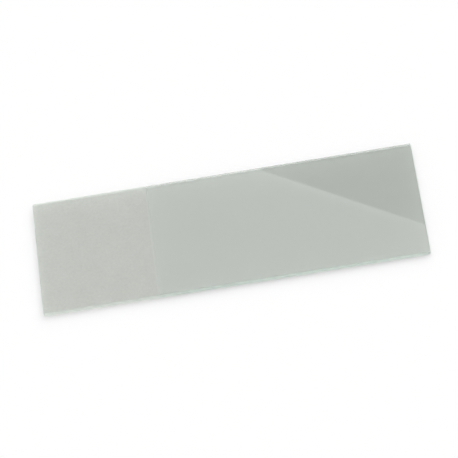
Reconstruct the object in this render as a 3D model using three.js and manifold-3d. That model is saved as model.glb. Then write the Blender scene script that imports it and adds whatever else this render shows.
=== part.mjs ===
// Microscope slide: one plain sheet of clear glass with ground edges and one frosted end.
// Units are millimetres and +Z is up. The origin is the centre of the underside, +X runs
// along the slide towards its clear end, and the frosted face is the upper one.

import * as THREE from "three";
import { mergeVertices } from "three/addons/utils/BufferGeometryUtils.js";
import Module from "manifold-3d";

// The sheet
const slideLength = 76.2; // three inches
const slideWidth = 25.4; // one inch
const slideThickness = 1.1; // slides of this grade run from 1.0 to 1.2

// Its ground edges
const arrisWidth = 0.15; // the 45 degree chamfer along both rims of the edge, measured on the face
const cornerRadius = 0.4; // in plan, where the edge turns from a side to an end
const cornerSteps = 8; // straight pieces in each corner arc

// The frosted end, a writing surface etched into the upper face across the full width
const frostedLength = 23; // from the end of the slide
const frostDepth = 0.02; // how far the etched surface lies below the clear one

const cutMargin = 1; // how far the etching's cutter runs past the sheet on its open sides

const wasm = await Module();
wasm.setup();

// A closed three.js geometry as a solid that can be cut.
function solidFrom(geometry) {
  const bare = geometry.clone();
  bare.deleteAttribute("normal");
  bare.deleteAttribute("uv");
  const merged = mergeVertices(bare);
  return new wasm.Manifold(
    new wasm.Mesh({
      numProp: 3,
      vertProperties: new Float32Array(merged.getAttribute("position").array),
      triVerts: new Uint32Array(merged.index.array),
    }),
  );
}

// A solid back as a three.js geometry, with one flat normal per face.
function geometryFrom(solid) {
  const mesh = solid.getMesh();
  const indexed = new THREE.BufferGeometry();
  indexed.setAttribute("position", new THREE.BufferAttribute(mesh.vertProperties, mesh.numProp));
  indexed.setIndex(new THREE.BufferAttribute(mesh.triVerts, 1));
  const flat = indexed.toNonIndexed();
  flat.computeVertexNormals();
  return flat;
}

// A rectangle centred on the origin with round corners, drawn anticlockwise.
function roundedRectangle(length, width, radius) {
  const x = length / 2 - radius;
  const y = width / 2 - radius;
  const quarter = Math.PI / 2;
  const outline = new THREE.Shape();
  outline.absarc(x, -y, radius, -quarter, 0);
  outline.absarc(x, y, radius, 0, quarter);
  outline.absarc(-x, y, radius, quarter, 2 * quarter);
  outline.absarc(-x, -y, radius, 2 * quarter, 3 * quarter);
  outline.closePath();
  return outline;
}

// The glass blank: its faces end at the inner rim of the arris, and the bevel carries the
// outline from there to the upright ground edge.
function glassBlank() {
  const face = roundedRectangle(
    slideLength - 2 * arrisWidth,
    slideWidth - 2 * arrisWidth,
    cornerRadius - arrisWidth,
  );
  const blank = new THREE.ExtrudeGeometry(face, {
    depth: slideThickness - 2 * arrisWidth,
    curveSegments: cornerSteps,
    bevelEnabled: true,
    bevelThickness: arrisWidth,
    bevelSize: arrisWidth,
    bevelSegments: 1,
  });
  return blank.translate(0, 0, arrisWidth);
}

// What the etching takes away: a shallow step that is open at the end and at both sides.
function frostCutter() {
  const length = frostedLength + cutMargin;
  const height = frostDepth + cutMargin;
  const cutter = new THREE.BoxGeometry(length, slideWidth + 2 * cutMargin, height);
  return cutter.translate(
    frostedLength - slideLength / 2 - length / 2,
    0,
    slideThickness - frostDepth + height / 2,
  );
}

const etched = solidFrom(glassBlank()).subtract(solidFrom(frostCutter()));

const clearGlass = new THREE.MeshStandardMaterial({
  color: 0xcfddd6,
  roughness: 0.06,
  metalness: 0,
  transparent: true,
  opacity: 0.35,
});

const glassSlide = new THREE.Mesh(geometryFrom(etched), clearGlass);
glassSlide.name = "glass_slide";

const slide = new THREE.Group();
slide.add(glassSlide);

export default slide;
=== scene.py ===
import math

import bmesh
import bpy
import numpy as np
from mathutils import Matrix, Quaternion, Vector


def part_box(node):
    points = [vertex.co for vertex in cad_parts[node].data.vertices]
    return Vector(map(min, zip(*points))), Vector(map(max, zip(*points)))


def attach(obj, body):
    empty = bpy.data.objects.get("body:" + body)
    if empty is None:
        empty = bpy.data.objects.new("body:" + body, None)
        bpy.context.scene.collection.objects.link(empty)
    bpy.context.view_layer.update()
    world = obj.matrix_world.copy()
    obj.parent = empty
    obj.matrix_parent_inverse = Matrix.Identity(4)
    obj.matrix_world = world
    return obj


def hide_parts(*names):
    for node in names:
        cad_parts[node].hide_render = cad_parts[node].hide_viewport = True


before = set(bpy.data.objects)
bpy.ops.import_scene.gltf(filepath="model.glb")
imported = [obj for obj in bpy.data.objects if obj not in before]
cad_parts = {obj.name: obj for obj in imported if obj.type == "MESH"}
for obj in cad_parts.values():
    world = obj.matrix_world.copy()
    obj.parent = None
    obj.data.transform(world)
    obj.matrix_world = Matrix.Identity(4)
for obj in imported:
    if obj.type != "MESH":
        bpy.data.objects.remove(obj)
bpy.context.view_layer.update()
slideLow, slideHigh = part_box("glass_slide")  # the origin is the centre of the underside
mm = 0.001
white = (1, 1, 1, 1)
print("frame loaded")


# A node's output, on which plus, minus and times add a Math node.
class Socket:
    def __init__(self, nodes, output):
        self.nodes = nodes
        self.output = output

    # Another output of the same node.
    def also(self, name):
        return Socket(self.nodes, self.output.node.outputs[name])

    def math(self, operation, first, second):
        return self.nodes.add("ShaderNodeMath", {"operation": operation}, {0: first, 1: second})

    def __add__(self, other):
        return self.math("ADD", self, other)

    def __radd__(self, other):
        return self.math("ADD", other, self)

    def __sub__(self, other):
        return self.math("SUBTRACT", self, other)

    def __rsub__(self, other):
        return self.math("SUBTRACT", other, self)

    def __mul__(self, other):
        return self.math("MULTIPLY", self, other)

    def __rmul__(self, other):
        return self.math("MULTIPLY", other, self)

    def atLeast(self, other):
        return self.math("MAXIMUM", self, other)

    def atMost(self, other):
        return self.math("MINIMUM", self, other)

    # How far from 0, either way.
    def size(self):
        return self.atLeast(-1.0 * self)


# The node tree of a material or a world, emptied first.
class Nodes:
    def __init__(self, owner):
        owner.use_nodes = True
        self.tree = owner.node_tree
        self.tree.nodes.clear()

    # One node: its settings first, then a value or a link for each socket named.
    def add(self, kind, settings, sockets, output=0):
        made = self.tree.nodes.new(kind)
        for name, value in settings.items():
            setattr(made, name, value)
        for name, value in sockets.items():
            if isinstance(value, Socket):
                self.tree.links.new(value.output, made.inputs[name])
            else:
                made.inputs[name].default_value = value
        return Socket(self, made.outputs[output]) if made.outputs else None

    # 0 below low, 1 above high, smooth between.
    def step(self, value, low, high):
        sockets = {"Value": value, "From Min": low, "From Max": high}
        return self.add("ShaderNodeMapRange", {"interpolation_type": "SMOOTHSTEP"}, sockets)

    # The first colour where share is 0, the second where it is 1. The Mix node has a socket A, B
    # and Result for each kind of value, and those of a colour are 6, 7 and output 2.
    def blend(self, share, first, second):
        sockets = {"Factor": share, 6: first, 7: second}
        return self.add("ShaderNodeMix", {"data_type": "RGBA"}, sockets, output=2)

    # Noise whose blobs are about 1 / scale metres across, and narrower along an axis whose
    # stretch is over 1.
    def noise(self, place, scale, detail=3.0, stretch=(1, 1, 1)):
        moved = self.add("ShaderNodeMapping", {}, {"Vector": place, "Scale": stretch})
        sockets = {"Vector": moved, "Scale": scale, "Detail": detail}
        return self.add("ShaderNodeTexNoise", {}, sockets)


slide = dict(
    frostedLength=23 * mm,  # from the end of the slide
    frostDepth=0.02 * mm,  # the etched face lies this far below the clear one
    frostEdge=0.06 * mm,  # width of the slope between the two
    slopePoints=5,
    arris=0.15 * mm,  # 45 degree chamfer along both rims of the ground edge
    corner=0.4 * mm,  # radius in plan
    easing=0.02 * mm,  # where the chamfer meets the face and the edge
    easingSteps=2,
    cornerSteps=10,
    spacing=0.5 * mm,  # between neighbouring points along the sides
    edgeRows=4,
    mergeWithin=0.0005 * mm,
)

length, width, thickness = slideHigh - slideLow
frostLine = slideLow.x + slide["frostedLength"]


# Points along one straight side, evenly spaced.
def alongSide(low, high):
    count = round((high - low) / slide["spacing"])
    return np.linspace(low, high, count + 1)


# The outline in plan, anticlockwise from the near left corner, as the point each place has with
# no inset and the direction in which an inset moves it: straight in on the sides, and towards
# the corner's centre on the arcs.
def planOutline():
    radius = slide["corner"]
    cx, cy = length / 2 - radius, width / 2 - radius
    slope = frostLine + slide["frostEdge"] * np.linspace(-0.5, 0.5, slide["slopePoints"])
    xs = np.unique(np.concatenate([alongSide(-cx, cx), slope]))
    ys = alongSide(-cy, cy)
    turn = np.linspace(0, math.pi / 2, slide["cornerSteps"] + 1)[1:-1]

    def arc(x, y, start):
        out = np.stack([np.cos(start + turn), np.sin(start + turn)], 1)
        return np.array([x, y]) + radius * out, -out

    def straight(x, y, inward):
        points = np.stack(np.broadcast_arrays(x, y), 1)
        return points, np.tile(inward, (len(points), 1)).astype(float)

    parts = [
        straight(xs, -width / 2, (0, 1)),
        arc(cx, -cy, -math.pi / 2),
        straight(length / 2, ys, (-1, 0)),
        arc(cx, cy, 0),
        straight(xs[::-1], width / 2, (0, -1)),
        arc(-cx, cy, math.pi / 2),
        straight(-length / 2, ys[::-1], (1, 0)),
        arc(-cx, -cy, math.pi),
    ]
    points = np.concatenate([p for p, _ in parts])
    inward = np.concatenate([d for _, d in parts])
    return points, inward, len(xs), len(ys)


# The height of the upper face at x: full thickness on the clear part, less by the frost's
# depth on the etched part, joined by a smooth step.
def upperHeight(x):
    t = np.clip((frostLine - x) / slide["frostEdge"] + 0.5, 0, 1)
    return thickness - slide["frostDepth"] * t * t * (3 - 2 * t)


# The edge's section from the underside to the upper face, as inset and height above the
# underside: chamfer, upright ground face and chamfer. Each corner is eased by a curve that
# starts and ends one easing away from it and bends through the corner as a quadratic Bezier.
def edgeSection():
    arris, easing = slide["arris"], slide["easing"]
    face = arris + 2 * easing
    lower = [(face, 0), (arris, 0), (0, arris)]
    upper = [(inset, thickness - height) for inset, height in lower[::-1]]
    corners = np.array(lower + upper)
    here = corners[1:-1]
    into = here - corners[:-2]
    out = corners[2:] - here
    start = here - easing * into / np.linalg.norm(into, axis=1, keepdims=True)
    end = here + easing * out / np.linalg.norm(out, axis=1, keepdims=True)
    t = np.linspace(0, 1, slide["easingSteps"] + 1)[None, :, None]
    eased = start[:, None] * (1 - t) ** 2 + 2 * here[:, None] * t * (1 - t) + end[:, None] * t**2
    points = eased.reshape(-1, 2)
    middle = len(points) // 2
    rows = np.linspace(points[middle - 1], points[middle], slide["edgeRows"] + 1)[1:-1]
    return np.concatenate([points[:middle], rows, points[middle:]])


# The ground band: the section carried round the outline. The point at place s and section row
# t is outline(s) + inset(t) * inward(s), at height(t), lowered in proportion to its height
# where the frosted face is.
def groundBand(points, inward):
    section = edgeSection()
    inset, height = section[:, 0, None], section[:, 1, None]
    plan = points[None] + inset[:, :, None] * inward[None]
    drop = thickness - upperHeight(plan[:, :, 0])
    return np.concatenate([plan, (height - drop * height / thickness)[:, :, None]], 2)


# A flat face: columns across the slide, each point moved straight from the near rim to the far
# rim, and the two short sides as the end columns, so that every rim point is the band's own.
def flatFace(rim, columns, rows):
    turn = slide["cornerSteps"] - 1
    right = columns + turn
    far = right + rows + turn
    left = far + columns + turn
    nearRim = np.concatenate([rim[left + rows:], rim[:right]])
    farRim = rim[right + rows:left][::-1]
    across = np.linspace(0, 1, rows)[:, None, None]
    inner = nearRim[None] * (1 - across) + farRim[None] * across
    leftSide = rim[left:left + rows][::-1]
    rightSide = rim[right:right + rows]
    return np.concatenate([leftSide[:, None], inner, rightSide[:, None]], 1)


# Quads of a grid of points, joined end to end along its second direction if closed.
def gridQuads(rows, columns, closed, flipped):
    across = columns if closed else columns - 1
    r, c = np.meshgrid(np.arange(rows - 1), np.arange(across), indexing="ij")
    here, above = r * columns, (r + 1) * columns
    after = (c + 1) % columns
    corners = [here + c, here + after, above + after, above + c]
    quads = np.stack([k.ravel() for k in corners], 1)
    return quads[:, ::-1] if flipped else quads


# One mesh from several grids of points, whose shared rims are merged. Each comes with whether
# it is closed and whether it is flipped, as gridQuads takes them.
def meshPiece(name, *grids):
    points, quads, count = [], [], 0
    for grid, closed, flipped in grids:
        quads.append(gridQuads(*grid.shape[:2], closed, flipped) + count)
        points.append(grid.reshape(-1, 3))
        count += len(points[-1])
    data = bpy.data.meshes.new(name)
    data.from_pydata(np.concatenate(points).tolist(), [], np.concatenate(quads).tolist())
    shape = bmesh.new()
    shape.from_mesh(data)
    bmesh.ops.remove_doubles(shape, verts=shape.verts, dist=slide["mergeWithin"])
    shape.to_mesh(data)
    shape.free()
    piece = bpy.data.objects.new(name, data)
    bpy.context.scene.collection.objects.link(piece)
    return piece


def makeSlide():
    points, inward, columns, rows = planOutline()
    band = groundBand(points, inward)
    upper = flatFace(band[-1], columns, rows)
    upper[:, :, 2] = upperHeight(upper[:, :, 0])
    under = flatFace(band[0], columns, rows)
    grids = [(band, True, False), (upper, False, False), (under, False, True)]
    return meshPiece("clear_slide", *grids)


glass = dict(
    tint=(0.706, 0.727, 0.698, 1),
    frostLow=(0.594, 0.595, 0.565, 1),  # the frosted tint wanders between these two
    frostHigh=(0.888, 0.885, 0.848, 1),
    rimTint=(0.785, 0.790, 0.758, 1),
    groundTint=(0.790, 0.830, 0.795, 1),
    # inside, a metre of glass absorbs the density times (1 - the colour)
    bodyColour=(0.45, 0.80, 0.67, 1),
    bodyDensity=15.0,
    ior=1.52,
    frosted=0.55,  # roughness
    ground=0.9,
    cloudy=0.05,  # how far the frosted roughness varies from patch to patch
    faceLow=0.035 * mm,  # what lies less than this below the upper face is face or frosting
    faceSoft=0.01 * mm,
    underHigh=0.005 * mm,  # what lies below this is the underside
    ragged=0.12 * mm,  # how far the line of the frosting strays
    frostSoft=0.05 * mm,
    rimWidth=0.4 * mm,  # a lighter line along the end of the frosting
    raggedScale=9000.0,  # noise scales, per metre
    grainScale=7000.0,
    grainDetail=4.0,
    speckleScale=2000.0,
    speckleDetail=2.0,
    cloudScale=400.0,
    wheelScale=400.0,
    wheelStretch=(1, 1, 50),  # the wheel leaves lines along the edge
    speckleShare=0.7,  # of the frosted tint, and the rest is cloud
    endPaintedLight=0.18,  # painted light: how much paler the frosting is made along the slide's end, in place of the light line of its lit edge, and how far in that fades
    endReach=1.5 * mm,
    wheelShare=0.5,  # of the ground relief, and the rest is grain
    relief=0.02 * mm,
    reliefStrength=0.6,
)


def glassMaterial():
    made = bpy.data.materials.new("soda_glass")
    s = Nodes(made)
    place = s.add("ShaderNodeTexCoord", {}, {}, output="Object")
    x = s.add("ShaderNodeSeparateXYZ", {}, {"Vector": place})
    z = x.also("Z")

    # ground where the surface is neither the upper face nor the underside
    upperLow, underHigh = thickness - glass["faceLow"], glass["underHigh"]
    isUpper = s.step(z, upperLow, upperLow + glass["faceSoft"])
    isGround = s.step(z, underHigh, underHigh + glass["faceSoft"]) * (1 - isUpper)

    # frosted on the upper face, up to a line that is a little ragged
    soft, rim = glass["frostSoft"], -glass["rimWidth"]
    past = x + (s.noise(place, glass["raggedScale"]) - 0.5) * glass["ragged"] - frostLine
    isFrosted = (1 - s.step(past, -soft, soft)) * isUpper
    isRim = s.step(past, rim - soft, rim + soft) * isFrosted

    grain = s.noise(place, glass["grainScale"], glass["grainDetail"])
    speckle = s.noise(place, glass["speckleScale"], glass["speckleDetail"])
    cloud = s.noise(place, glass["cloudScale"])
    wheel = s.noise(place, glass["wheelScale"], stretch=glass["wheelStretch"])

    frostedRoughness = glass["frosted"] + glass["cloudy"] * (cloud - 0.5)
    roughness = isFrosted * frostedRoughness + isGround * glass["ground"]
    # painted light: the frosting is made paler near the slide's end, for the light line of the lit
    # end edge, and added to its real mottle
    paintedEndLight = glass["endPaintedLight"] * (1 - s.step(x, slideLow.x, slideLow.x + glass["endReach"]))
    mottleAndEndLight = glass["speckleShare"] * speckle + (1 - glass["speckleShare"]) * cloud + paintedEndLight
    frostAndEndLight = s.blend(mottleAndEndLight, glass["frostLow"], glass["frostHigh"])
    colour = s.blend(isFrosted, glass["tint"], frostAndEndLight)
    colour = s.blend(isRim, colour, glass["rimTint"])
    colour = s.blend(isGround, colour, glass["groundTint"])
    groundRelief = glass["wheelShare"] * wheel + (1 - glass["wheelShare"]) * grain
    height = grain * isFrosted + groundRelief * isGround
    relief = {"Strength": glass["reliefStrength"], "Distance": glass["relief"], "Height": height}

    body = s.add(
        "ShaderNodeBsdfPrincipled",
        {},
        {
            "Base Color": colour,
            "Roughness": roughness,
            "IOR": glass["ior"],
            "Transmission Weight": 1.0,
            "Normal": s.add("ShaderNodeBump", {}, relief),
        },
    )
    inside = {"Color": glass["bodyColour"], "Density": glass["bodyDensity"]}
    inside = s.add("ShaderNodeVolumeAbsorption", {}, inside)
    s.add("ShaderNodeOutputMaterial", {}, {"Surface": body, "Volume": inside})
    return made


camera = dict(
    azimuth=3.3,  # degrees round from the slide's near long side
    elevation=58.4,
    roll=-12.0,
    distance=0.56,
    lens=223.9,
    clipStart=0.01,
    clipEnd=20,
)


# The direction from the slide towards azimuth and elevation, in degrees.
def towards(azimuth, elevation):
    a, e = math.radians(azimuth), math.radians(elevation)
    return Vector((math.sin(a) * math.cos(e), -math.cos(a) * math.cos(e), math.sin(e)))


def makeCamera():
    data = bpy.data.cameras.new("camera")
    data.lens = camera["lens"]
    data.clip_start = camera["clipStart"]
    data.clip_end = camera["clipEnd"]
    held = bpy.data.objects.new("camera", data)
    back = towards(camera["azimuth"], camera["elevation"])
    held.location = (slideLow + slideHigh) / 2 + back * camera["distance"]
    held.rotation_mode = "QUATERNION"
    roll = Quaternion((0, 0, 1), math.radians(camera["roll"]))
    held.rotation_quaternion = (-back).to_track_quat("-Z", "Y") @ roll
    bpy.context.scene.collection.objects.link(held)
    bpy.context.scene.camera = held
    return held


stage = dict(
    floorReach=6.0,
    floorColour=(0.88, 0.88, 0.88, 1),
    floorGlow=0.12,  # what the floor's colour lacks to pure white
    gap=0.01 * mm,  # between the floor and the slide
    worldLight=0.55,
    keyLight=0.45,  # of the light that falls on the floor
    keyAzimuth=152,  # degrees round from the near long side
    keyElevation=50,
    keyAngle=80,  # degrees across
    bounces=64,  # light that enters the glass by an edge is thrown to and fro inside it
)


# 1 for what the camera sees, straight or by way of faces that mirror or let through, and 0 once
# the ray has left a matt face, so that it isn't light on the floor.
def seenDirectly(s):
    ray = s.add("ShaderNodeLightPath", {}, {}, output="Is Camera Ray")
    seen = ray.atLeast(ray.also("Is Glossy Ray")).atLeast(ray.also("Is Transmission Ray"))
    return seen * (1 - ray.also("Diffuse Depth")).atLeast(0)


# A level grid of four points at height z, half as long and half as wide as given.
def levelSheet(halfLong, halfShort, z):
    y, x = np.meshgrid([-halfShort, halfShort], [-halfLong, halfLong], indexing="ij")
    return np.stack([x, y, np.full(x.shape, z)], 2)


def makeFloor():
    reach = stage["floorReach"]
    grid = levelSheet(reach, reach, slideLow.z - stage["gap"])
    floor = meshPiece("floor", (grid, False, False))
    made = bpy.data.materials.new("pale_floor")
    s = Nodes(made)
    matt = s.add("ShaderNodeBsdfDiffuse", {}, {"Color": stage["floorColour"]})
    strength = seenDirectly(s) * stage["floorGlow"]
    glow = s.add("ShaderNodeEmission", {}, {"Color": white, "Strength": strength})
    both = s.add("ShaderNodeAddShader", {}, {0: matt, 1: glow})
    s.add("ShaderNodeOutputMaterial", {}, {"Surface": both})
    floor.data.materials.append(made)


def makeWorld():
    world = bpy.data.worlds.new("studio")
    bpy.context.scene.world = world
    s = Nodes(world)
    strength = stage["worldLight"] + seenDirectly(s) * (1 - stage["worldLight"])
    sky = s.add("ShaderNodeBackground", {}, {"Color": white, "Strength": strength})
    s.add("ShaderNodeOutputWorld", {}, {"Surface": sky})


# A far, wide lamp, so that its light is even all over the floor. A level white floor under a sun
# of energy e at elevation h gives back e sin(h) / pi, which is turned round here.
def makeKey():
    lamp = bpy.data.lights.new("key", "SUN")
    lamp.angle = math.radians(stage["keyAngle"])
    lamp.energy = stage["keyLight"] * math.pi / math.sin(math.radians(stage["keyElevation"]))
    held = bpy.data.objects.new("key", lamp)
    held.rotation_mode = "QUATERNION"
    source = towards(stage["keyAzimuth"], stage["keyElevation"])
    held.rotation_quaternion = source.to_track_quat("Z", "Y")
    held.visible_glossy = False  # a polished face would mirror its disc
    bpy.context.scene.collection.objects.link(held)


# Hides a light from all but reflections: sharp in a polished face, and spread by a frosted one.
def onlyMirrored(light):
    light.visible_camera = False
    light.visible_diffuse = False
    light.visible_transmission = False
    light.visible_shadow = False


softbox = dict(
    height=0.8,
    size=(0.9, 0.6),
    brightness=2.6,  # where white is 1
    softEdge=0.0015,
    rimGlow=0.55,  # how much brighter it is in a thin line along its rim
    rimWidth=0.0025,
    rimFade=0.003,
    # its mirrored edge crosses the slide between these, as shares of the length and the width
    start=(0.597, 1.0),
    end=(1.0, 0.257),
)


# A glowing sheet level over the slide, which shows only in reflections. Outside its rim all is
# plain white. To place it, the camera's own mirror image looks up through a point of the upper
# face, and the line goes on to the sheet's height.
def makeSoftbox(eye):
    image = Vector((eye.x, eye.y, 2 * slideHigh.z - eye.z))
    reach = (softbox["height"] - image.z) / (slideHigh.z - image.z)

    def mirrored(share):
        x = slideLow.x + share[0] * length
        y = slideLow.y + share[1] * width
        return image + (Vector((x, y, slideHigh.z)) - image) * reach

    start, end = mirrored(softbox["start"]), mirrored(softbox["end"])
    along = (end - start).normalized()
    inward = Vector((along.y, -along.x, 0))
    halfLong, halfShort = softbox["size"][0] / 2, softbox["size"][1] / 2
    sheet = meshPiece("softbox", (levelSheet(halfLong, halfShort, 0), False, False))
    sheet.location = (start + end) / 2 + inward * halfShort
    sheet.rotation_euler.z = math.atan2(along.y, along.x)
    onlyMirrored(sheet)
    made = bpy.data.materials.new("softbox_cloth")
    s = Nodes(made)
    place = s.add("ShaderNodeTexCoord", {}, {}, output="Object")
    x = s.add("ShaderNodeSeparateXYZ", {}, {"Vector": place})
    fromRim = (halfLong - x.size()).atMost(halfShort - x.also("Y").size())
    lit = s.step(fromRim, 0, softbox["softEdge"])
    inner = s.step(fromRim, softbox["rimWidth"], softbox["rimWidth"] + softbox["rimFade"])
    extra = lit * (softbox["brightness"] - 1) + (lit - inner) * softbox["rimGlow"]
    glow = s.add("ShaderNodeEmission", {}, {"Color": white, "Strength": 1 + extra})
    s.add("ShaderNodeOutputMaterial", {}, {"Surface": glow})
    sheet.data.materials.append(made)


panels = dict(
    count=8,
    share=0.5,  # of the ring that the panels fill
    start=45,  # degrees round from the near long side to the first panel's side
    lean=6,  # degrees round from its foot to its top
    distance=1.5,
    height=1.55,
    glow=0.75,  # over plain white, for each metre of height
)


# A ring of glowing panels round the slide, which shows only in reflections. Side 0 or 1 of a
# panel stands at its azimuth, turned by the lean in proportion to the height.
def makePanels():
    step = 360 / panels["count"]
    firstSides = panels["start"] + step * np.arange(panels["count"])
    grids = []
    for first in firstSides:
        side, rise = np.meshgrid([0, 1], [0, 1])
        turn = np.radians(first + panels["share"] * step * side + panels["lean"] * (rise - 0.5))
        corners = [np.sin(turn), -np.cos(turn), rise * panels["height"] / panels["distance"]]
        grids.append((panels["distance"] * np.stack(corners, 2), False, False))
    ring = meshPiece("panels", *grids)
    onlyMirrored(ring)
    made = bpy.data.materials.new("panel_cloth")
    s = Nodes(made)
    place = s.add("ShaderNodeTexCoord", {}, {}, output="Object")
    height = s.add("ShaderNodeSeparateXYZ", {}, {"Vector": place}).also("Z")
    strength = 1 + height * panels["glow"]
    glow = s.add("ShaderNodeEmission", {}, {"Color": white, "Strength": strength})
    s.add("ShaderNodeOutputMaterial", {}, {"Surface": glow})
    ring.data.materials.append(made)


piece = makeSlide()
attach(piece, "root")
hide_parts("glass_slide")
print("slide made,", len(piece.data.vertices), "points")

piece.data.materials.append(glassMaterial())
print("glass made")

makeFloor()
makeWorld()
makeKey()
makeSoftbox(makeCamera().location)
makePanels()
scene = bpy.context.scene
scene.view_settings.view_transform = "Standard"
scene.cycles.max_bounces = stage["bounces"]
scene.cycles.glossy_bounces = stage["bounces"]
scene.cycles.transmission_bounces = stage["bounces"]
print("stage set")
